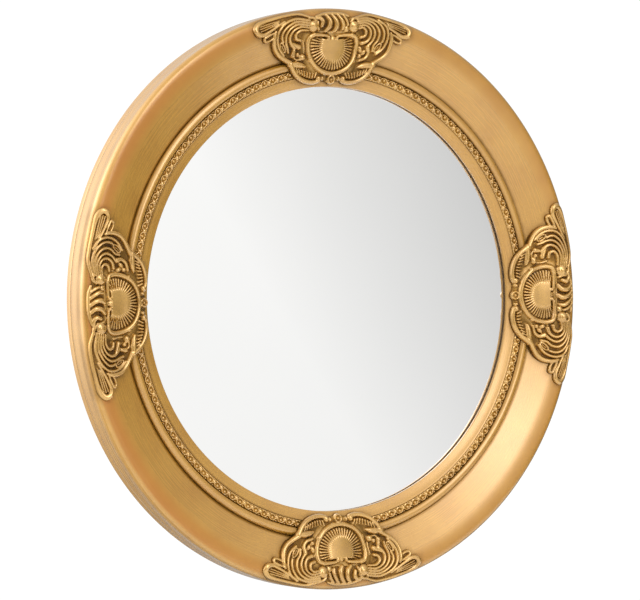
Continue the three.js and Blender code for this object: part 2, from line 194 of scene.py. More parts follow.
def casting(step):
    f = Relief(-84, 84, 182.5, 249, step)
    # --- ground of the casting
    half = ([(0, 246.4), (13, 245.6), (22, 243), (36, 245), (48, 243.2), (60, 240.4), (70, 237.8), (77, 231.5), (70, 227.5)]
            + C_UPPER + C_LOWER + [(6, 188), (0, 186.5)])
    ground = f.inside(half + [(-u, v) for u, v in reversed(half)])
    f.S = np.maximum(f.S, ground)
    f.H = np.where(ground > 0, 0.35, 0.0)

    # --- shell cartouche
    rim = [(6.2, 227.3), (12.3, 227.9), (18.9, 228.0), (23.2, 226.0), (24.6, 221.5), (24.1, 215.0), (21.8, 207.9), (17.8, 202.1),
           (12.3, 198.0), (6.0, 195.7), (0, 194.9)]
    whole = rim + [(-u, v) for u, v in reversed(rim[:-1])]
    field = f.inside(whole)
    cu, cv = 0.4 * CAST, 219.0 * CAST
    du, dv = f.U - cu, f.V - cv
    rho = np.hypot(du, dv)
    ang = np.arctan2(dv, du)
    dome = 3.7 * np.clip(1 - (np.hypot(du, dv + 3.4) / 26.3) ** 2, 0, 1)
    pitch = math.radians(8.0)
    wave = 0.5 + 0.5 * np.cos(2 * np.pi * (ang + np.pi / 2) / pitch)
    start = 9.8 + 2.4 * np.clip(-np.sin(ang), 0, 1)
    run = np.clip((rho - start + 0.6) / 6.5, 0, 1)
    run = run * run * (3 - 2 * run)
    above = np.where(ang > 0, np.minimum(ang, np.pi - ang), 0)
    run = run * np.clip((math.radians(34) - above) / math.radians(7), 0, 1)
    slot = np.clip((0.62 - wave) / 0.42, 0, 1)
    slot = slot * slot * (3 - 2 * slot)
    flute = dome + 0.25 * run - run * slot * 2.1
    edge = np.clip((field - 2.1) / 1.2, 0, 1)
    shell = np.maximum(flute, 0.25) * edge**0.5 + 0.2
    apron = 1.2 * np.clip(1 - (-field - 2.0) / 5.0, 0, 1) ** 0.6
    f.H = np.where((field < 0) & (ground > 0.8), np.maximum(f.H, apron), f.H)
    f.H = np.where(field > 0.8, np.maximum(shell, 0.2), f.H)
    f.ridge(rim[:3], [1.7, 1.9, 2.2], [3.6, 3.7, 3.8])
    f.ridge([(-u, v) for u, v in rim[:3]], [1.7, 1.9, 2.2], [3.6, 3.7, 3.8])
    around = rim[2:] + [(-u, v) for u, v in reversed(rim[2:-1])]
    f.ridge(around, 2.5, 3.9)
    f.cut([(u * 0.915, 216 + (v - 216) * 0.9) for u, v in around[1:-1]], 0.45, 0.8)
    for s in (-1, 1):
        f.lump(s * 4.2, 225.2, 1.9, 3.1, 4.1, turn=-8 * s)
        f.lump(s * 21.8, 206.5, 2.7, 3.0, 3.9, turn=35 * s)
    f.lump(0.4, 223.8, 3.4, 4.0, 3.3)

    # --- crest leaves over the shield
    f.lump(-1, 238.2, 16.5, 8.6, 0.5, flat=0.2)
    crest = f.inside([(-17, 231), (17, 231), (17, 244), (10, 246), (-10, 246), (-17, 243)])
    f.H = np.where(crest > 0.4, 0.4, f.H)
    f.ridge([(-17.5, 243.8), (-9, 246.2), (1, 246.9), (9.5, 246.3), (15.5, 244.6)], [1.3, 1.6, 1.6, 1.6, 1.2], 3.0)
    f.ridge([(-18.4, 242.4), (-14.0, 242.6), (-11.4, 239.8), (-12.2, 235.8)], [1.7, 2.2, 2.4, 2.0], [3.2, 3.8, 4.1, 3.6])
    f.ridge([(-7.4, 245.4), (-4.0, 240.6), (-4.4, 235.4), (-8.0, 231.4)], [1.7, 2.5, 2.7, 2.0], [3.1, 4.0, 4.3, 3.6])
    f.ridge([(-1.4, 245.8), (2.2, 240.6), (3.0, 235.4), (1.0, 231.6)], [1.7, 2.5, 2.75, 2.2], [3.1, 4.0, 4.3, 3.7])
    f.ridge([(4.6, 245.8), (8.0, 241.0), (9.8, 236.8), (9.2, 233.0)], [1.6, 2.2, 2.3, 1.6], [3.1, 3.8, 3.9, 3.2])
    f.ridge([(10.2, 245), (12.8, 241.2), (14.4, 237.0)], [1.3, 1.8, 1.5], 3.3)
    f.ridge([(-16.2, 239.6), (-16.4, 236), (-15.0, 232.6)], [1.1, 1.8, 1.5], 3.1)
    f.ridge([(-17, 230.6), (0, 230.4), (17, 230.8)], 1.2, 1.6, flat=1.0)
    f.lump(13.6, 233.0, 3.0, 3.4, 2.4)

    # --- bosses from which the wings spring
    for s in (-1, 1):
        f.lump(s * 20.7, 235.2, 5.1, 5.6, 4.7, flat=0.45)
        f.ridge([(s * 17.6, 239.6), (s * 20, 242.2), (s * 25, 242.8)], [1.4, 1.7, 1.4], [2.9, 3.3, 2.9])
        f.cut([(s * 18.2, 237.6), (s * 21, 238.6), (s * 23.2, 236.4), (s * 22.4, 233.4), (s * 20, 233.6)], 0.6, 0.4)

    # --- feathers, left wing then right wing
    strands = [
        ([(-23, 242.8), (-34.5, 245.6), (-48.5, 243.9), (-59, 241.4), (-68.5, 238.8)], [1.1, 1.25, 1.25, 1.3, 1.4], 2.5),
        ([(-24.4, 240.2), (-38.5, 241.2), (-50.2, 236.2), (-55.6, 229.6), (-56.4, 222.6), (-53.8, 215.4), (-48.6, 209.8)], 1.22, 2.7),
        ([(-25, 238.1), (-37.5, 238.8), (-47, 234.1), (-51.6, 228.4), (-51.8, 224.4), (-50.4, 221.2)], 1.2, 2.7),
        ([(-25.4, 236.0), (-36.5, 236.5), (-44.4, 232.2), (-47.8, 226.4), (-47.4, 220.8), (-45.6, 216.6), (-44.4, 212.4)], 1.22, 2.8),
        ([(-25.4, 233.9), (-34.5, 234.2), (-41.2, 230.6), (-43.8, 225.2), (-42.4, 220.4), (-38.2, 216.6)], [1.0, 1.2, 1.25, 1.3, 1.5, 1.9], 2.9),
        ([(-25.8, 231.6), (-33.6, 231.4), (-38.0, 227.8), (-36.8, 224.0), (-33.0, 223.0)], [1.0, 1.3, 1.45, 1.55, 1.5], 3.1),
        ([(23, 243.4), (36.5, 245.9), (47, 244.3), (58, 241.6), (68, 238.9)], [1.1, 1.25, 1.25, 1.3, 1.4], 2.5),
        ([(24, 241.8), (36, 242.8), (46.2, 238.8), (51.2, 232.3), (51.8, 226.3), (50.6, 222.6)], 1.22, 2.7),
        ([(24.5, 239.9), (35, 240.8), (43.6, 236.4), (46.9, 230.2), (45.8, 224.1), (42.2, 219.6), (41, 214.6)], 1.22, 2.8),
        ([(24.6, 238.0), (33.4, 238.8), (40.2, 234.8), (42.4, 229.1), (40.2, 223), (36.6, 219.2)], [1.0, 1.15, 1.2, 1.25, 1.3, 1.5], 2.8),
        ([(24.8, 236.0), (32.4, 236.6), (37.2, 233.2), (38.0, 227.5), (34.8, 222.8), (30.2, 221.2)], [1.0, 1.15, 1.2, 1.3, 1.5, 1.8], 2.9),
        ([(25, 233.8), (30.4, 234.4), (33.3, 231.4), (32.2, 227.6), (28.0, 226.2)], [1.0, 1.25, 1.4, 1.5, 1.5], 3.1),
        ([(46.6, 241.4), (53.4, 236.2), (55.8, 229.4), (54.8, 222.4), (51.2, 216.3), (45.0, 211.8)], 1.22, 2.7),
    ]
    for points, width, height in strands:
        f.ridge(points, np.array(width) * 1.2, height + 0.45)
    for u, v, turn in ((-50.2, 216.4, 31), (46.4, 217.4, -40)):
        f.ring(u, v, 2.0, 4.6, 0.95, 2.6, turn)
        k = math.radians(turn)
        f.ridge([(u + 2.4 * math.sin(k), v - 2.4 * math.cos(k)), (u - 1.8 * math.sin(k), v + 1.8 * math.cos(k))], 0.7, 2.2)

    # --- leaf tips with long flutes, and the lobes under them
    for s in (-1, 1):
        f.ridge([(s * 59, 241.4), (s * 68, 238.9), (s * 75.2, 235.8), (s * 78.4, 231.4), (s * 76.4, 227.6), (s * 71.4, 226.8),
                 (s * 64, 230.4), (s * 56.5, 234.8), (s * 49.5, 239)], [1.4, 1.8, 2.4, 2.9, 2.7, 2.2, 1.7, 1.4, 1.1],
                [2.6, 2.9, 3.4, 3.7, 3.5, 3.2, 2.9, 2.7, 2.6])
        for k in range(3):
            f.ridge([(s * (74.2 - 0.6 * abs(k - 1)), 233.9 - 2.1 * k), (s * 65, 236.6 - 1.75 * k), (s * (54 + 0.8 * k), 239.6 - 1.3 * k)],
                    [0.70, 0.74, 0.6], [2.4, 2.6, 2.4])
        f.ridge([(s * 60, 229), (s * 65.2, 226.6), (s * 69.6, 223.6), (s * 68.6, 221.4), (s * 64.2, 222.2), (s * 60.4, 224.8)],
                [1.1, 1.4, 1.6, 1.5, 1.3, 1.1], 2.8)
        lobe = f.inside([(s * 60, 229), (s * 65.2, 226.6), (s * 69.6, 223.6), (s * 68.6, 221.4), (s * 64.2, 222.2), (s * 60.4, 224.8)])
        f.S = np.maximum(f.S, lobe)
        f.H = np.where(lobe > 0, np.maximum(f.H, 0.4), f.H)

    # --- scrolls that edge the casting
    for s in (-1, 1):
        f.ridge([(s * u, v) for u, v in C_UPPER], [1.5, 2.15, 2.3, 2.3, 2.3, 2.35, 2.5], [2.7, 3.3, 3.5, 3.5, 3.5, 3.6, 3.8])
        f.lump(s * 41.9, 202.4, 3.2, 3.0, 4.0)
        f.ridge([(s * u, v) for u, v in C_LOWER], [2.5, 2.3, 2.25, 2.2, 2.15, 2.1], [3.8, 3.5, 3.5, 3.5, 3.5, 3.6])
        f.lump(s * 12.4, 190.0, 3.0, 3.2, 4.1)
        f.lump(s * 8.2, 190.8, 1.7, 2.2, 2.9)

    # --- leaves, buds and tongues between the wings and the shield
    f.ridge([(-44, 221.6), (-39, 219.2), (-33.6, 217.2)], [1.2, 2.0, 2.7], [2.8, 3.3, 3.7])
    f.ridge([(-38.6, 214.2), (-39.2, 209.8)], [1.9, 2.6], 3.6)
    f.ridge([(-39, 209.2), (-36.4, 206.6), (-31.6, 206.4)], 1.15, 2.4)
    f.lump(-30.0, 208.6, 3.7, 3.2, 4.0)
    f.lump(-34.4, 210.8, 2.1, 2.4, 3.1)
    f.ridge([(-29.6, 222), (-28.2, 217), (-28, 212.6)], [1.0, 1.3, 1.0], 2.0)
    f.lump(28.6, 215.8, 2.4, 3.5, 3.8, turn=18)
    f.lump(32.4, 213.4, 2.2, 3.3, 3.7, turn=-35)
    f.lump(28.4, 210.4, 2.3, 2.4, 3.4)
    f.ridge([(36.4, 217.8), (37.2, 212.9), (34.4, 208.6), (28, 206.4)], [2.7, 2.1, 1.9, 1.6], [3.8, 3.5, 3.2, 3.0])
    f.ridge([(27.6, 222), (26.9, 219)], 1.0, 1.9)
    for s in (-1, 1):
        f.ridge([(s * 41, 201.9), (s * 36, 202.2), (s * 31, 201.6), (s * 26.8, 200.6)], [2.9, 3.3, 2.7, 1.4], [3.8, 3.9, 3.6, 2.8])
        comb, _ = curve([(s * 35.2, 197.6), (s * 28.6, 195.2), (s * 21.2, 193.4), (s * 15.6, 193.6)], 0.1)
        for k in range(8):
            u, v = comb[int((len(comb) - 1) * k / 7)]
            lean = s * (1.1 - 0.28 * k)
            f.ridge([(u + lean, v + 1.9), (u - lean, v - 2.1)], [0.8, 1.15], [2.3, 3.0])

    # --- flower between the lower scrolls
    f.lump(0.4, 189.8, 4.4, 4.1, 1.9, flat=0.3)
    f.ring(0.4, 189.8, 3.2, 3.1, 1.05, 3.7)
    f.lump(0.4, 189.8, 1.5, 1.5, 3.7)
    # lower towards the outer edge of the frame
    out = np.clip((np.hypot(f.U, f.V) - 236.0) / 10.0, 0, 1)
    f.H = np.where(f.S > -1.5, f.H * (1 - 0.32 * out * out * (3 - 2 * out)), 0.0)
    f.H = blur(f.H, 0.22 / step)
    return f

# ---------------------------------------------------------------- meshes
def to_world(uvd, turn=0):
    """Chart points (u, v, d), turned clockwise by quarter turns, to metres in the part's frame."""
    uvd = np.asarray(uvd, dtype=np.float64)
    u, v, d = uvd[:, 0], uvd[:, 1], uvd[:, 2]
    for _ in range(turn):
        u, v = v, -u
    return np.stack([u, -d, v + AXIS_Z], axis=1) * 0.001


def add_mesh(name, points, faces, values=None, sharp=None):
    """A mesh object from points in metres and a list of face arrays, with point attributes."""
    mesh = bpy.data.meshes.new(name)
    loops = np.concatenate([np.asarray(f).ravel() for f in faces]).astype(np.int32)
    sizes = np.concatenate([np.full(len(f), np.asarray(f).shape[1]) for f in faces]).astype(np.int32)
    mesh.vertices.add(len(points))
    mesh.vertices.foreach_set("co", np.asarray(points, dtype=np.float32).ravel())
    mesh.loops.add(len(loops))
    mesh.loops.foreach_set("vertex_index", loops)
    mesh.polygons.add(len(sizes))
    mesh.polygons.foreach_set("loop_start", np.concatenate([[0], np.cumsum(sizes)[:-1]]).astype(np.int32))
    mesh.update(calc_edges=True)
    mesh.validate()
    for key, data in (values or {}).items():
        layer = mesh.attributes.new(key, "FLOAT", "POINT")
        layer.data.foreach_set("value", np.asarray(data, dtype=np.float32))
    mesh.polygons.foreach_set("use_smooth", np.ones(len(mesh.polygons), dtype=bool))
    if sharp:
        mesh.set_sharp_from_angle(angle=math.radians(sharp))
    obj = bpy.data.objects.new(name, mesh)
    bpy.context.scene.collection.objects.link(obj)
    return obj


def ring_faces(n, m, closed_profile=True):
    """Quads of a turned surface: n steps round, m points in the section."""
    i = np.arange(n)[:, None]
    j = np.arange(m if closed_profile else m - 1)[None, :]
    a = i * m + j
    b = i * m + (j + 1) % m
    c = ((i + 1) % n) * m + (j + 1) % m
    d = ((i + 1) % n) * m + j
    return np.stack([a, b, c, d], axis=-1).reshape(-1, 4)


def turned_points(section, n):
    r, d = np.asarray(section, dtype=np.float64).T
    t = np.arange(n) / n * 2 * np.pi
    u = np.outer(np.cos(t), r)
    v = np.outer(np.sin(t), r)
    return np.stack([u.ravel(), v.ravel(), np.tile(d, n)], axis=1)


def arc(cr, cd, rr, rd, a0, a1, n):
    a = np.radians(np.linspace(a0, a1, n))
    return [(cr + rr * math.cos(x), cd + rd * math.sin(x)) for x in a]


def line(p, q, n):
    return [(p[0] + (q[0] - p[0]) * k, p[1] + (q[1] - p[1]) * k) for k in np.linspace(0, 1, n)]


def frame_section():
    """Closed section of the frame, from the rabbet round the front to the wall, as (radius, d)."""
    s = [(R_RABBET, 0.0), (R_RABBET, 9.0), (R_RABBET, D_LIP_BACK), (R_SIGHT + 0.3, D_LIP_BACK), (R_SIGHT, D_LIP_BACK + 0.3)]
    s += arc(R_SIGHT + 0.9, D_SIGHT - 0.95, 0.9, 0.9, 180, 104, 6)
    s += [(R_SIGHT + 1.4 + k, D_SIGHT + 0.1 + 0.235 * k + 0.18 * math.sin(math.pi * k / 7.6)) for k in np.linspace(0, 7.6, 7)]
    s += arc(R_STRIP_IN - 0.5, 22.75, 0.5, 0.5, 80, 0, 4)
    s += [(R_STRIP_IN, D_CHANNEL), (R_STRIP_OUT, D_CHANNEL)]
    s += arc(R_BEAD, D_BEAD_BASE, BEAD_HALF, D_BEAD_TOP - D_BEAD_BASE, 180, 0, 17)
    s += [(R_BAND_IN, D_BAND_IN)]
    s += line((R_BAND_IN + 0.4, D_BAND_IN + 0.35), (R_BAND_OUT, D_BAND_OUT), 10)
    for t in np.linspace(0.14, 1, 7):
        s.append((R_BAND_OUT + (R_CROWN - R_BAND_OUT) * t, D_BAND_OUT + (D_CROWN - D_BAND_OUT) * (2 * t - t * t)))
    s += [(R_CROWN + ROLL_R * math.sin(a), D_CROWN - ROLL_R + ROLL_R * math.cos(a)) for a in np.radians(np.linspace(8, 90, 11))]
    s += [(249.85, 22.5), (249.55, 20.0), (249.42, 17.6), (249.5, 14.5), (249.62, 11.5), (249.55, 9.2), (249.25, 7.95)]
    s += [(R_BACK - GROOVE_DEPTH + 0.15, GROOVE_D + 0.15), (R_BACK - GROOVE_DEPTH + 0.15, GROOVE_D - 0.15)]
    s += arc(R_BACK - 0.6, GROOVE_D - 1.1, 0.6, 0.6, 80, 0, 4)
    s += [(R_BACK, 3.5), (R_BACK, 0.6), (R_BACK - 0.6, 0.0), (235.0, 0.0), (212.0, 0.0)]
    return s


def front_of_frame(r):
    """d of the frame's front surface at radius r."""
    keep = [(a, b) for a, b in frame_section() if b > 18.5]
    rr = np.array([a for a, _ in keep])
    dd = np.array([b for _, b in keep])
    order = np.argsort(rr, kind="stable")
    return np.interp(r, rr[order], dd[order])


def shade_near(value, centre, width):
    return np.exp(-(((value - centre) / width) ** 2))


STEP = 0.44
cast = casting(STEP)


def cast_lookup(u, v, field):
    """Bilinear value of a field of the casting's chart."""
    x = np.clip((u - cast.u[0]) / STEP, 0, len(cast.u) - 1.001)
    y = np.clip((v - cast.v[0]) / STEP, 0, len(cast.v) - 1.001)
    i, j = y.astype(int), x.astype(int)
    fx, fy = x - j, y - i
    return (field[i, j] * (1 - fx) * (1 - fy) + field[i, j + 1] * fx * (1 - fy)
            + field[i + 1, j] * (1 - fx) * fy + field[i + 1, j + 1] * fx * fy)


def make_frame():
    section = frame_section()
    n = 480
    p = turned_points(section, n)
    r = np.hypot(p[:, 0], p[:, 1])
    d = p[:, 2]
    # brown patina and painted shade in the quirks, the groove and the channel under the strip, and a painted shadow
    # thinly round the castings
    dark = np.maximum.reduce([
        0.8 * shade_near(r, 207.25, 0.7) * (d < 24),
        0.8 * shade_near(r, 199.2, 0.8) * (d > 20),
        (np.abs(r - 195.6) < 3.4) * (d < 22.0) * 1.0,
        0.8 * shade_near(d, GROOVE_D, 0.45) * (r > 246),
        0.55 * shade_near(r, 192.4, 0.7) * (d > 20),
    ])
    near = np.full(len(p), -50.0)
    for k in range(4):
        u, v = p[:, 0], p[:, 1]
        for _ in range((4 - k) % 4):
            u, v = v, -u
        hit = (np.abs(u) < 83) & (v > 183)
        near[hit] = np.maximum(near[hit], cast_lookup(u[hit], v[hit], np.maximum(cast.S, -30)))
    # painted shadow on the frame's front, fading out from each casting's outline
    dark = np.maximum(dark, (d > 18.4) * 0.42 * np.exp(np.minimum(near, 0) / 2.2))
    return add_mesh("frame_ring", to_world(p), [ring_faces(n, len(section))], {"patina_and_shade": dark}, sharp=38)


def make_strip():
    per = 24
    n = PEARLS * per
    rad = np.linspace(R_STRIP_IN + 0.25, R_STRIP_OUT - 0.25, 22)
    pitch = 2 * np.pi * 195.6 / PEARLS
    s = (np.arange(n) % per) / per * pitch
    s = np.where(s > pitch / 2, s - pitch, s)[:, None]
    r = rad[None, :]
    base = D_STRIP_TOP - 2.35
    h = np.zeros((n, len(rad)))

    def bump(ds, dr, ws, wr, high):
        q = (ds / ws) ** 2 + (dr / wr) ** 2
        np.maximum(h, high * np.sqrt(np.clip(1 - q, 0, 1)), out=h)

    def bar(s0, r0, s1, r1, w, high):
        for sign in (-1, 1):
            a, b = sign * s0, sign * s1
            ls, lr = b - a, r1 - r0
            k = np.clip(((s - a) * ls + (r - r0) * lr) / (ls * ls + lr * lr + 1e-9), 0, 1)
            q = ((s - a - k * ls) ** 2 + (r - r0 - k * lr) ** 2) / w**2
            np.maximum(h, high * np.sqrt(np.clip(1 - q, 0, 1)), out=h)

    half = pitch / 2
    bump(s, r - 195.2, 2.25, 1.95, 2.4)  # pearl
    bar(1.0, 196.4, 2.9, 198.2, 0.72, 1.7)  # stems that open outwards
    bar(2.9, 198.2, half, 198.3, 0.6, 1.45)
    bump(np.abs(s) - half, r - 196.4, 1.45, 1.5, 2.15)  # bud between the stems
    bar(1.7, 194.4, half, 193.2, 0.62, 1.25)  # foot line
    bump(s, r - 198.2, 0.9, 0.8, 1.2)
    bar(0.0, 193.0, half, 193.0, 0.55, 0.9)
    d = base + h
    t = np.arange(n) / n * 2 * np.pi
    u = np.cos(t)[:, None] * r
    v = np.sin(t)[:, None] * r
    m = len(rad)
    # section: the modelled top, then two points that close it underneath
    foot_r = np.array([R_STRIP_OUT - 0.25, R_STRIP_IN + 0.25])
    uu = np.concatenate([u, np.outer(np.cos(t), foot_r)], axis=1)
    vv = np.concatenate([v, np.outer(np.sin(t), foot_r)], axis=1)
    dd = np.concatenate([d, np.full((n, 2), D_CHANNEL + 0.05)], axis=1)
    # brown patina and painted shade on the low ground between the pearls, full on the closing points underneath
    dark = np.concatenate([np.clip(1.0 - h / 0.95, 0, 1), np.ones((n, 2))], axis=1)
    p = np.stack([uu.ravel(), vv.ravel(), dd.ravel()], axis=1)
    return add_mesh("beaded_moulding", to_world(p), [ring_faces(n, m + 2)], {"patina_and_shade": dark.ravel()}, sharp=75)


DECK = np.array([(180, 22.2), (186, 23.1), (192, 24.5), (196, 25.4), (200, 26.3), (205, 26.7), (210, 26.3), (214, 26.5),
                 (222, 28.1), (230, 30.1), (237, 31.5), (243.5, 31.9), (246, 31.2), (248, 30.0), (250, 28.2)])
UNDER = np.array([(180, 20.9), (183.5, 21.1), (191.8, 23.1), (194.2, 24.3), (198.6, 24.3), (200.6, 25.4), (205, 25.5), (213.5, 23.6),
                  (230, 29.0), (236.75, 30.6), (243.5, 31.2), (246, 30.7), (248, 29.5), (250, 27.0)])


def deck(r):
    """Smooth surface that carries the relief of a casting, over radius."""
    fine = np.arange(170.0, 260.0, 0.25)
    soft = np.interp(fine, *DECK.T)
    k = np.exp(-0.5 * (np.arange(-48, 49) * 0.25 / 2.6) ** 2)
    soft = np.convolve(np.pad(soft, 48, mode="edge"), k / k.sum(), mode="valid")
    return np.interp(r, fine, np.where(fine > 241.0, np.minimum(soft, np.interp(fine, *DECK.T) + 0.1), soft))


def casting_mesh():
    """Top, edge wall and underside of one casting: chart points, faces and share of brown patina and painted shade."""
    S = cast.S.copy()
    small = 0.08 * STEP
    S = np.where(np.abs(S) < small, np.where(S >= 0, small, -small), S)
    rows, cols = S.shape
    H = cast.H
    # brown patina and painted shade in the hollows and over the low ground of the casting
    soft = blur(H, 1.5 / STEP)
    hollow = np.clip((soft - H) / 0.9, 0, 1)
    low = np.clip(1.05 - H / 1.6, 0, 1)
    dark = np.clip(np.maximum(hollow, low), 0, 1)
    inside = S > 0
    index = -np.ones(S.shape, dtype=int)
    index[inside] = np.arange(inside.sum())
    pu, pv = list(cast.U[inside]), list(cast.V[inside])
    ph, pk = list(H[inside]), list(dark[inside])
    full = inside[:-1, :-1] & inside[1:, :-1] & inside[:-1, 1:] & inside[1:, 1:]
    some = (inside[:-1, :-1] | inside[1:, :-1] | inside[:-1, 1:] | inside[1:, 1:]) & ~full
    i, j = np.nonzero(full)
    quads = np.stack([index[i, j], index[i, j + 1], index[i + 1, j + 1], index[i + 1, j]], axis=1)
    cuts, tris, rim = {}, [], []

    def crossing(a, b):
        key = (a, b) if a < b else (b, a)
        if key not in cuts:
            (i0, j0), (i1, j1) = key
            k = S[i0, j0] / (S[i0, j0] - S[i1, j1])
            cuts[key] = len(pu)
            pu.append(cast.U[i0, j0] + k * (cast.U[i1, j1] - cast.U[i0, j0]))
            pv.append(cast.V[i0, j0] + k * (cast.V[i1, j1] - cast.V[i0, j0]))
            ph.append(0.0)
            # the cut edge of the casting gets painted shade
            pk.append(0.9)
        return cuts[key]

    for i, j in zip(*np.nonzero(some)):
        i, j = int(i), int(j)
        for tri in (((i, j), (i, j + 1), (i + 1, j + 1)), ((i, j), (i + 1, j + 1), (i + 1, j))):
            keep = [inside[c] for c in tri]
            if not any(keep):
                continue
            ring, exits = [], []
            for k in range(3):
                a, b = tri[k], tri[(k + 1) % 3]
                if inside[a]:
                    ring.append(index[a])
                if inside[a] != inside[b]:
                    c = crossing(a, b)
                    ring.append(c)
                    exits.append((c, inside[a]))
            for k in range(1, len(ring) - 1):
                tris.append((ring[0], ring[k], ring[k + 1]))
            if len(exits) == 2:
                out_first = exits[0][1]
                rim.append((exits[0][0], exits[1][0]) if out_first else (exits[1][0], exits[0][0]))
    pu, pv, ph, pk = (np.array(x) for x in (pu, pv, ph, pk))
    r = np.hypot(pu, pv)
    top = np.stack([pu, pv, np.minimum(deck(r) + ph, 35.85)], axis=1)
    low_d = np.minimum(np.interp(r, *UNDER.T), top[:, 2] - 0.4)
    bottom = np.stack([pu, pv, low_d], axis=1)
    n = len(top)
    tris, rim = np.array(tris), np.array(rim)
    wall = np.stack([rim[:, 1], rim[:, 0], rim[:, 0] + n, rim[:, 1] + n], axis=1)
    faces = [quads, tris, wall, quads[:, ::-1] + n, tris[:, ::-1] + n]
    # underside points carry the full painted shade
    return np.concatenate([top, bottom]), faces, np.concatenate([pk, np.full(n, 0.9)])


def make_castings():
    points, faces, dark = casting_mesh()
    out = []
    for k, side in enumerate(("top", "right", "bottom", "left")):
        out.append((side, add_mesh("casting_" + side, to_world(points, k), faces, {"patina_and_shade": dark}, sharp=62)))
    return out


def make_disc(name, d0, d1, radius, bevel):
    n = 192
    section = [(0.0, d0), (radius * 0.5, d0), (radius - bevel, d0), (radius, d0 + bevel), (radius, d1 - bevel), (radius - bevel, d1), (radius * 0.5, d1), (0.0, d1)]
    ring = section[1:-1]
    p = turned_points(ring, n)
    m = len(ring)
    quads = ring_faces(n, m, closed_profile=False)
    low, high = len(p), len(p) + 1
    p = np.vstack([p, [(0, 0, d0), (0, 0, d1)]])
    i = np.arange(n)
    k = (i + 1) % n
    caps = np.concatenate([np.stack([np.full(n, low), i * m, k * m], 1)[:, ::-1], np.stack([np.full(n, high), i * m + m - 1, k * m + m - 1], 1)])
    return add_mesh(name, to_world(p), [quads[:, ::-1], caps[:, ::-1]], sharp=30)


def fix_outward(obj):
    """Turn the faces outwards."""
    import bmesh

    b = bmesh.new()
    b.from_mesh(obj.data)
    bmesh.ops.recalc_face_normals(b, faces=b.faces)
    b.to_mesh(obj.data)
    b.free()


def cut_away(obj, tool):
    """Cuts one mesh out of another for good."""
    mod = obj.modifiers.new("cut", "BOOLEAN")
    mod.operation = "DIFFERENCE"
    mod.solver = "EXACT"
    mod.object = tool
    graph = bpy.context.evaluated_depsgraph_get()
    done = bpy.data.meshes.new_from_object(obj.evaluated_get(graph), preserve_all_data_layers=True, depsgraph=graph)
    obj.modifiers.remove(mod)
    old = obj.data
    obj.data = done
    bpy.data.meshes.remove(old)
    data = tool.data
    bpy.data.objects.remove(tool)
    bpy.data.meshes.remove(data)


def slab(name, outline, d0, d1):
    """A straight-sided block over a closed outline in the chart."""
    n = len(outline)
    a = np.array([(u, v, d0) for u, v in outline] + [(u, v, d1) for u, v in outline])
    i = np.arange(n)
    k = (i + 1) % n
    return add_mesh(name, to_world(a), [np.stack([i, k, k + n, i + n], 1), i[None, ::-1], i[None, :] + n])


def plate_outline(grow, n=24):
    w = PLATE_W / 2 + grow
    cy = PLATE_R_LOW + PLATE_W / 2
    foot = [(w * math.cos(a), cy + w * math.sin(a)) for a in np.linspace(math.pi, 2 * math.pi, n)]
    c = 2.0
    return foot + [(w, PLATE_R_TOP + grow - c), (w - c, PLATE_R_TOP + grow), (-w + c, PLATE_R_TOP + grow), (-w, PLATE_R_TOP + grow - c)]


def key_outline(grow=0.0, n=20):
    re, rs = KEY_ENTRY_R + grow, KEY_SLOT_R + grow
    tilt = math.asin(rs / re)
    entry = [(re * math.cos(a), KEY_ENTRY_Y + re * math.sin(a)) for a in np.linspace(math.pi / 2 + tilt, 2.5 * math.pi - tilt, n)]
    slot = [(rs * math.cos(a), KEY_SLOT_Y + rs * math.sin(a)) for a in np.linspace(0, math.pi, n)]
    return entry + slot


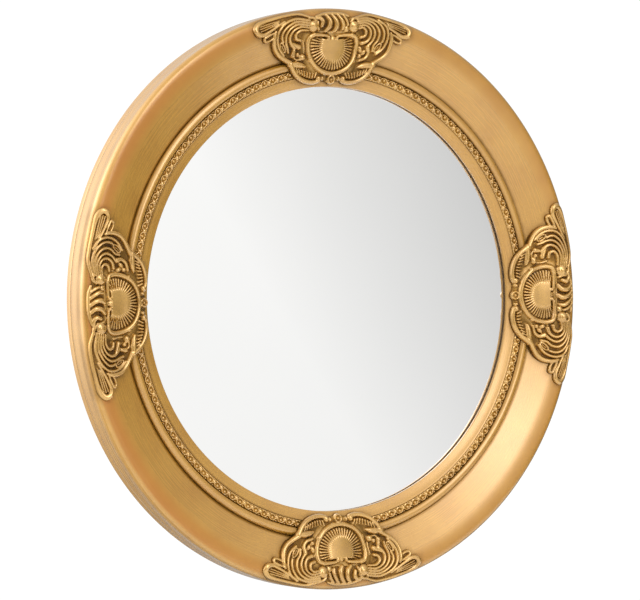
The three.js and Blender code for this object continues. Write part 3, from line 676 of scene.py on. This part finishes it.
# ---------------------------------------------------------------- finishes
class Nodes:
    """Small helper to lay out a material's node tree."""

    def __init__(self, name):
        self.mat = bpy.data.materials.new(name)
        self.mat.use_nodes = True
        self.tree = self.mat.node_tree
        self.tree.nodes.clear()
        self.out = self.add("ShaderNodeOutputMaterial")
        self.bsdf = self.add("ShaderNodeBsdfPrincipled")
        self.link(self.bsdf.outputs["BSDF"], self.out.inputs["Surface"])

    def add(self, kind, **settings):
        node = self.tree.nodes.new(kind)
        for key, value in settings.items():
            setattr(node, key, value)
        return node

    def link(self, a, b):
        self.tree.links.new(a, b)

    def put(self, socket, value):
        if hasattr(value, "is_linked") or isinstance(value, bpy.types.NodeSocket):
            self.link(value, socket)
        else:
            socket.default_value = value

    def math(self, kind, a, b=0.0, c=0.0, clamp=False):
        node = self.add("ShaderNodeMath", operation=kind, use_clamp=clamp)
        for socket, value in zip(node.inputs, (a, b, c)):
            self.put(socket, value)
        return node.outputs[0]

    def place(self):
        """Position in the part's frame, in metres."""
        return self.add("ShaderNodeTexCoord").outputs["Object"]

    def noise(self, vector, scale, detail=3.0, rough=0.55):
        node = self.add("ShaderNodeTexNoise")
        self.put(node.inputs["Vector"], vector)
        node.inputs["Scale"].default_value = scale
        node.inputs["Detail"].default_value = detail
        node.inputs["Roughness"].default_value = rough
        return node.outputs["Fac"]

    def ramp(self, fac, stops):
        node = self.add("ShaderNodeValToRGB")
        self.put(node.inputs["Fac"], fac)
        band = node.color_ramp
        while len(band.elements) < len(stops):
            band.elements.new(0.5)
        for element, (at, colour) in zip(band.elements, stops):
            element.position = at
            element.color = tuple(colour) + (1.0,) if len(colour) == 3 else colour
        return node.outputs["Color"]

    def mix(self, fac, a, b, kind="MIX"):
        node = self.add("ShaderNodeMix", data_type="RGBA", blend_type=kind)
        self.put(node.inputs["Factor"], fac)
        for socket, value in ((node.inputs[6], a), (node.inputs[7], b)):
            self.put(socket, tuple(value) + (1.0,) if isinstance(value, tuple) and len(value) == 3 else value)
        return node.outputs[2]

    def span(self, value, a0, a1, b0=0.0, b1=1.0, smooth=True):
        node = self.add("ShaderNodeMapRange", interpolation_type="SMOOTHSTEP" if smooth else "LINEAR", clamp=True)
        for key, x in zip(("Value", "From Min", "From Max", "To Min", "To Max"), (value, a0, a1, b0, b1)):
            self.put(node.inputs[key], x)
        return node.outputs["Result"]

    def bump(self, height, strength, distance):
        node = self.add("ShaderNodeBump")
        node.inputs["Strength"].default_value = strength
        node.inputs["Distance"].default_value = distance
        self.put(node.inputs["Height"], height)
        self.link(node.outputs["Normal"], self.bsdf.inputs["Normal"])

    def attribute(self, key):
        return self.add("ShaderNodeAttribute", attribute_name=key).outputs["Fac"]

    def polar(self, round_scale, across_scale):
        """Coordinates that run along the ring, for marks that follow the turning."""
        x, y, z = self.add("ShaderNodeSeparateXYZ"), None, None
        self.link(self.place(), x.inputs[0])
        up = self.math("SUBTRACT", x.outputs["Z"], AXIS_Z * 0.001)
        radius = self.math("SQRT", self.math("ADD", self.math("MULTIPLY", x.outputs["X"], x.outputs["X"]), self.math("MULTIPLY", up, up)))
        c = self.add("ShaderNodeCombineXYZ")
        self.put(c.inputs["X"], self.math("MULTIPLY", self.math("DIVIDE", x.outputs["X"], radius), round_scale))
        self.put(c.inputs["Y"], self.math("MULTIPLY", self.math("DIVIDE", up, radius), round_scale))
        across = self.math("SUBTRACT", radius, x.outputs["Y"])
        self.put(c.inputs["Z"], self.math("MULTIPLY", across, across_scale))
        return c.outputs[0], radius, x.outputs["Y"], self.math("DIVIDE", x.outputs["X"], radius)


GOLD_LIGHT, GOLD_MID, GOLD_DEEP = (0.483, 0.253, 0.032), (0.443, 0.223, 0.024), (0.397, 0.187, 0.017)
CAST_SHADES = (0.420, 0.215, 0.029), (0.500, 0.268, 0.042), (0.580, 0.325, 0.058)
BROWN, BROWN_RED, AMBER = (0.048, 0.020, 0.004), (0.120, 0.048, 0.008), (0.330, 0.112, 0.009)


def gilt(name, shades, metallic, roughness, streaks, coat, coat_rough, coat_ior, brown_full=1.0, plain_back=False):
    m = Nodes(name)
    where = m.place()
    along, radius, depth, side = m.polar(6.0, 620.0)
    mottle = m.noise(where, 34.0, 4.0, 0.6)
    fine = m.noise(where, 420.0, 3.0, 0.6)
    streak = m.noise(along, 1.0, 3.0, 0.62)
    tone = m.math("ADD", m.math("MULTIPLY", mottle, 1.0 - streaks), m.math("MULTIPLY", streak, streaks))
    gold = m.ramp(tone, [(0.30, shades[0]), (0.50, shades[1]), (0.72, shades[2])])
    # patina and painted shade from the mesh, broken by fine noise: it browns the gold, takes off its coat, roughens it
    # and makes it more metallic
    patina_shade_amount = m.math("MULTIPLY", m.attribute("patina_and_shade"), m.span(fine, 0.25, 0.62, 0.80, 1.0))
    brown = m.mix(m.span(mottle, 0.35, 0.65), BROWN + (1.0,), BROWN_RED + (1.0,))
    colour = m.mix(m.math("MULTIPLY", patina_shade_amount, brown_full, clamp=True), gold, brown)
    gloss = m.math("SUBTRACT", 1.0, m.math("MULTIPLY", patina_shade_amount, 1.5), clamp=True)
    if plain_back:
        # warm glaze over the outer edge of the moulding, with painted shade added that grows towards the left side
        outer = m.math("MULTIPLY", m.span(radius, 0.2300, 0.2415), m.span(radius, 0.2480, 0.2450))
        outer = m.math("MULTIPLY", outer, m.span(depth, -0.0255, -0.0285))
        # streaky glaze all round, plus painted shade of up to 0.42 on the left half
        glaze_plus_left_shade = m.math("ADD", m.span(streak, 0.3, 0.7, 0.20, 0.36), m.span(side, 0.3, -0.95, 0.0, 0.42))
        glaze_and_shade = m.math("MULTIPLY", outer, glaze_plus_left_shade)
        colour = m.mix(glaze_and_shade, colour, AMBER + (1.0,))
        gloss = m.math("MULTIPLY", gloss, m.math("SUBTRACT", 1.0, m.math("MULTIPLY", glaze_and_shade, 1.25), clamp=True))
    metal = m.math("ADD", metallic, m.math("MULTIPLY", patina_shade_amount, 0.80 - metallic), clamp=True)
    rough = m.math("ADD", m.math("ADD", roughness - 0.06, m.math("MULTIPLY", streak if streaks else mottle, 0.12)), m.math("MULTIPLY", patina_shade_amount, 0.24), clamp=True)
    if plain_back:
        # bare board behind: the wall side and the rebate that holds the glass
        back = m.span(depth, -0.0004, -0.0001)
        step = m.math("MULTIPLY", m.span(radius, 0.19045, 0.19015), m.span(depth, -0.01846, -0.01826))
        bare = m.math("MAXIMUM", back, step)
        metal = m.math("MULTIPLY", metal, m.math("SUBTRACT", 1.0, glaze_and_shade))
        rough = m.math("ADD", rough, m.math("MULTIPLY", glaze_and_shade, 0.3))
        grain = m.noise(where, 260.0, 5.0, 0.7)
        board = m.ramp(grain, [(0.3, (0.235, 0.150, 0.085)), (0.7, (0.340, 0.232, 0.140))])
        colour = m.mix(bare, colour, board)
        gloss = m.math("MULTIPLY", gloss, m.math("SUBTRACT", 1.0, bare))
        metal = m.math("MULTIPLY", metal, m.math("SUBTRACT", 1.0, bare))
        rough = m.math("MAXIMUM", rough, m.math("MULTIPLY", bare, 0.8))
    m.put(m.bsdf.inputs["Base Color"], colour)
    m.put(m.bsdf.inputs["Metallic"], metal)
    m.put(m.bsdf.inputs["Roughness"], rough)
    m.put(m.bsdf.inputs["Coat Weight"], m.math("MULTIPLY", gloss, coat))
    m.bsdf.inputs["Coat Roughness"].default_value = coat_rough
    m.bsdf.inputs["Coat IOR"].default_value = coat_ior
    m.bump(m.math("ADD", m.math("MULTIPLY", streak, streaks), m.math("MULTIPLY", fine, 0.4)), 0.05, 0.0004)
    return m.mat


def silvered():
    m = Nodes("silvered_glass")
    cloud = m.noise(m.place(), 9.0, 2.0, 0.5)
    m.put(m.bsdf.inputs["Base Color"], m.ramp(cloud, [(0.3, (0.925, 0.930, 0.928)), (0.7, (0.935, 0.938, 0.936))]))
    m.bsdf.inputs["Metallic"].default_value = 1.0
    m.put(m.bsdf.inputs["Roughness"], m.span(cloud, 0.3, 0.7, 0.010, 0.018))
    return m.mat


def hardboard():
    m = Nodes("hardboard")
    where = m.place()
    flecks = m.noise(where, 620.0, 5.0, 0.72)
    broad = m.noise(where, 14.0, 3.0, 0.5)
    base = m.ramp(flecks, [(0.28, (0.105, 0.055, 0.026)), (0.52, (0.190, 0.108, 0.056)), (0.74, (0.290, 0.178, 0.098))])
    m.put(m.bsdf.inputs["Base Color"], m.mix(m.math("MULTIPLY", broad, 0.3), base, (0.20, 0.115, 0.06, 1.0)))
    m.put(m.bsdf.inputs["Roughness"], m.span(flecks, 0.3, 0.7, 0.62, 0.82))
    m.bump(flecks, 0.25, 0.0003)
    return m.mat


def steel(name, tint, roughness):
    m = Nodes(name)
    where = m.place()
    brushed = m.add("ShaderNodeMapping")
    m.link(where, brushed.inputs["Vector"])
    brushed.inputs["Scale"].default_value = (900.0, 900.0, 60.0)
    lines = m.noise(brushed.outputs[0], 1.0, 3.0, 0.6)
    haze = m.noise(where, 120.0, 3.0, 0.6)
    m.put(m.bsdf.inputs["Base Color"], m.ramp(haze, [(0.3, tuple(0.84 * c for c in tint)), (0.7, tint)]))
    m.bsdf.inputs["Metallic"].default_value = 1.0
    m.put(m.bsdf.inputs["Roughness"], m.span(lines, 0.25, 0.75, roughness - 0.07, roughness + 0.09))
    m.bump(lines, 0.08, 0.0002)
    return m.mat


def paper_floor():
    m = Nodes("pale_floor")
    speck = m.noise(m.place(), 3.0, 4.0, 0.5)
    m.put(m.bsdf.inputs["Base Color"], m.ramp(speck, [(0.3, (0.86, 0.86, 0.855)), (0.7, (0.89, 0.89, 0.885))]))
    m.bsdf.inputs["Roughness"].default_value = 0.8
    return m.mat


def carry(obj, node, material):
    obj.data.materials.clear()
    obj.data.materials.append(material)
    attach(obj, "root")
    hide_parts(node)


# ---------------------------------------------------------------- the mirror
gold_frame = gilt("gilt_frame", (GOLD_DEEP, GOLD_MID, GOLD_LIGHT), 0.30, 0.27, 0.32, 1.0, 0.20, 1.65, plain_back=True)
gold_strip = gilt("gilt_strip", CAST_SHADES, 0.56, 0.20, 0.0, 1.0, 0.10, 1.8, brown_full=0.52)
gold_cast = gilt("gilt_casting", CAST_SHADES, 0.56, 0.21, 0.0, 1.0, 0.11, 1.75)

ring = make_frame()
fix_outward(ring)
pocket = slab("pocket", plate_outline(0.3), -3.0, 1.9)
fix_outward(pocket)
cut_away(ring, pocket)
for k, y in enumerate(SCREW_Y):
    hole = slab("hole", [(1.9 * math.cos(a), y + 1.9 * math.sin(a)) for a in np.linspace(0, 2 * math.pi, 24, endpoint=False)], -1.0, SCREW_L + 0.8)
    fix_outward(hole)
    cut_away(ring, hole)
ring.data.polygons.foreach_set("use_smooth", np.ones(len(ring.data.polygons), dtype=bool))
ring.data.set_sharp_from_angle(angle=math.radians(38))
carry(ring, "frame", gold_frame)

strip = make_strip()
fix_outward(strip)
carry(strip, "beaded_strip", gold_strip)

for side, obj in make_castings():
    fix_outward(obj)
    carry(obj, "ornament_" + side, gold_cast)

glass = make_disc("glass", 15.0, 16.6, 189.2, 0.3)
fix_outward(glass)
carry(glass, "mirror_glass", silvered())

board = make_disc("board", 11.7, 14.7, 189.2, 0.4)
fix_outward(board)
carry(board, "back_board", hardboard())

plate = slab("keyhole_plate", plate_outline(0.0), 0.0, PLATE_T)
fix_outward(plate)
tool = slab("key_tool", key_outline(), -1.0, PLATE_T + 1.0)
fix_outward(tool)
cut_away(plate, tool)
for y in SCREW_Y:
    sink = add_mesh("sink", to_world(np.vstack([
        [(3.8 * math.cos(a), y + 3.8 * math.sin(a), -0.3) for a in np.linspace(0, 2 * math.pi, 32, endpoint=False)],
        [(1.8 * math.cos(a), y + 1.8 * math.sin(a), PLATE_T + 0.1) for a in np.linspace(0, 2 * math.pi, 32, endpoint=False)],
    ])), [np.stack([np.arange(32), (np.arange(32) + 1) % 32, (np.arange(32) + 1) % 32 + 32, np.arange(32) + 32], 1),
          np.arange(32)[None, ::-1], np.arange(32)[None, :] + 32])
    fix_outward(sink)
    cut_away(plate, sink)
plate.data.polygons.foreach_set("use_smooth", np.ones(len(plate.data.polygons), dtype=bool))
plate.data.set_sharp_from_angle(angle=math.radians(28))
carry(plate, "hanger_plate", steel("hanger_steel", (0.62, 0.61, 0.58), 0.36))

screw_steel = steel("screw_steel", (0.66, 0.60, 0.47), 0.30)
for name, y in zip(("screw_lower", "screw_upper"), SCREW_Y):
    section = [(SCREW_HEAD_R - 0.4, 0.15), (SCREW_HEAD_R, 0.3), (SCREW_SHANK_R, 0.3 + (SCREW_HEAD_R - SCREW_SHANK_R) * 0.62)]
    d = section[-1][1]
    while d < SCREW_L - 2.2:
        section += [(SCREW_SHANK_R, d + 0.35), (SCREW_SHANK_R - 0.42, d + 0.75), (SCREW_SHANK_R - 0.42, d + 0.95), (SCREW_SHANK_R, d + 1.3)]
        d += 1.3
    section += [(0.25, SCREW_L)]
    n = 28
    p = turned_points(section, n)
    m = len(section)
    p = np.vstack([p, [(0, 0, section[0][1]), (0, 0, SCREW_L + 0.1)]])
    p[:, 1] += y
    i = np.arange(n)
    k = (i + 1) % n
    screw = add_mesh(name + "_fine", to_world(p), [ring_faces(n, m, closed_profile=False),
                     np.stack([np.full(n, n * m), k * m, i * m], 1), np.stack([np.full(n, n * m + 1), i * m + m - 1, k * m + m - 1], 1)])
    fix_outward(screw)
    for across in ((2.1, 0.42), (0.42, 2.1)):
        a, b = across
        cross = slab("cross", [(-a, y - b), (a, y - b), (a, y + b), (-a, y + b)], -1.0, 1.15)
        fix_outward(cross)
        cut_away(screw, cross)
    screw.data.polygons.foreach_set("use_smooth", np.ones(len(screw.data.polygons), dtype=bool))
    screw.data.set_sharp_from_angle(angle=math.radians(35))
    carry(screw, name, screw_steel)

# ---------------------------------------------------------------- studio
bpy.ops.mesh.primitive_plane_add(size=4.0, location=(0.0, -1.95, -1.05))
floor = bpy.context.object
floor.name = "studio_floor"
floor.data.materials.append(paper_floor())


def studio_world():
    """Soft white studio round the part; what the camera sees past the part is plain white."""
    world = bpy.data.worlds.new("studio")
    bpy.context.scene.world = world
    world.use_nodes = True
    tree = world.node_tree
    tree.nodes.clear()
    new, link = tree.nodes.new, tree.links.new
    out = new("ShaderNodeOutputWorld")
    direction = new("ShaderNodeTexCoord").outputs["Generated"]

    def calc(kind, a, b=0.0, clamp=False):
        node = new("ShaderNodeMath")
        node.operation, node.use_clamp = kind, clamp
        for socket, value in zip(node.inputs, (a, b)):
            if isinstance(value, bpy.types.NodeSocket):
                link(value, socket)
            else:
                socket.default_value = value
        return node.outputs[0]

    def facing(v, unit=True):
        node = new("ShaderNodeVectorMath")
        node.operation = "DOT_PRODUCT"
        link(direction, node.inputs[0])
        node.inputs[1].default_value = Vector(v).normalized() if unit else Vector(v)
        return node.outputs["Value"]

    def lobe(v, tight, amount):
        return calc("MULTIPLY", calc("EXPONENT", calc("MULTIPLY", calc("SUBTRACT", facing(v), 1.0), tight)), amount)

    # a bright side in front and a dimmer one beyond it to the right
    across = new("ShaderNodeMapRange")
    across.interpolation_type = "LINEAR"
    link(facing((0.848, 0.530, 0.55), unit=False), across.inputs["Value"])
    for key, x in (("From Min", -0.014), ("From Max", 0.045), ("To Min", SIDE_BRIGHT), ("To Max", SIDE_DIM)):
        across.inputs[key].default_value = x
    total = across.outputs["Result"]
    for v, tight, amount in LOBES:
        total = calc("ADD", total, lobe(v, tight, amount))
    total = calc("MAXIMUM", total, 0.12)
    soft = new("ShaderNodeBackground")
    soft.inputs["Color"].default_value = (1.0, 0.995, 0.985, 1.0)
    link(total, soft.inputs["Strength"])
    plain = new("ShaderNodeBackground")
    plain.inputs["Color"].default_value = (1.0, 1.0, 1.0, 1.0)
    plain.inputs["Strength"].default_value = 1.05
    pick = new("ShaderNodeMixShader")
    link(new("ShaderNodeLightPath").outputs["Is Camera Ray"], pick.inputs["Fac"])
    link(soft.outputs[0], pick.inputs[1])
    link(plain.outputs[0], pick.inputs[2])
    link(pick.outputs[0], out.inputs["Surface"])


SIDE_BRIGHT, SIDE_DIM = 1.115, 0.800
LOBES = [
    ((0.02, -0.95, 0.31), 52.0, 4.8),  # main light, high in front
    ((0.15, -0.92, 0.36), 30.0, 0.5),
    ((0.36, -0.83, 0.43), 30.0, 0.5),
    ((0.62, -0.62, 0.48), 20.0, 0.25),
    ((-0.62, -0.55, 0.56), 7.0, -0.05),  # broad light from the upper left
    ((-0.85, 0.40, 0.34), 7.0, 5.0),
    ((-0.10, -0.68, 0.72), 30.0, 4.20),
    ((0.92, -0.40, -0.05), 7.0, -0.46),
    ((0.93, 0.36, 0.0), 4.0, -0.52),
    ((-0.53, -0.848, -0.12), 10.0, -0.75),  # dim behind the camera and to the left
    ((-0.90, 0.10, -0.42), 5.0, -0.60),
    ((-0.20, 0.85, 0.49), 8.0, 0.05),  # rim light from behind and above
    ((-0.15, 0.80, -0.55), 5.0, -0.35),
    ((0.0, 0.0, 1.0), 3.0, 0.05),
    ((0.0, 0.0, -1.0), 3.0, -0.40),
]
studio_world()

# ---------------------------------------------------------------- camera
FOCAL_PX, IMAGE_W = 4691.0, 640.0
SIDE, TILT, LEAN = math.radians(32.03), math.radians(-0.18), math.radians(1.2)
AWAY, SHIFT_X, SHIFT_Y = 4059.0, -1.6, -1.0


def place_camera():
    ca, sa, ce, se, cl, sl = (f(x) for x in (SIDE, TILT, LEAN) for f in (math.cos, math.sin))
    axes = np.array([[ca, -sa, 0], [0, 0, -1], [sa, ca, 0]])
    tilt = np.array([[1, 0, 0], [0, ce, -se], [0, se, ce]])
    lean = np.array([[cl, 0, -sl], [0, 1, 0], [sl, 0, cl]])
    m = tilt @ axes @ lean
    o = np.array([SHIFT_X * AWAY / FOCAL_PX, SHIFT_Y * AWAY / FOCAL_PX, AWAY])
    spot = (-m.T @ o + np.array([0, 0, AXIS_Z])) * 0.001
    data = bpy.data.cameras.new("camera")
    data.sensor_fit, data.sensor_width = "HORIZONTAL", 36.0
    data.lens = FOCAL_PX / IMAGE_W * 36.0
    data.clip_start, data.clip_end = 0.1, 60.0
    camera = bpy.data.objects.new("camera", data)
    bpy.context.scene.collection.objects.link(camera)
    right, down, ahead = m
    place = Matrix.Identity(4)
    for i in range(3):
        place[i][0], place[i][1], place[i][2], place[i][3] = right[i], -down[i], -ahead[i], spot[i]
    camera.matrix_world = place
    bpy.context.scene.camera = camera


place_camera()
bpy.context.scene.view_settings.view_transform = "Standard"

bpy.context.view_layer.update()
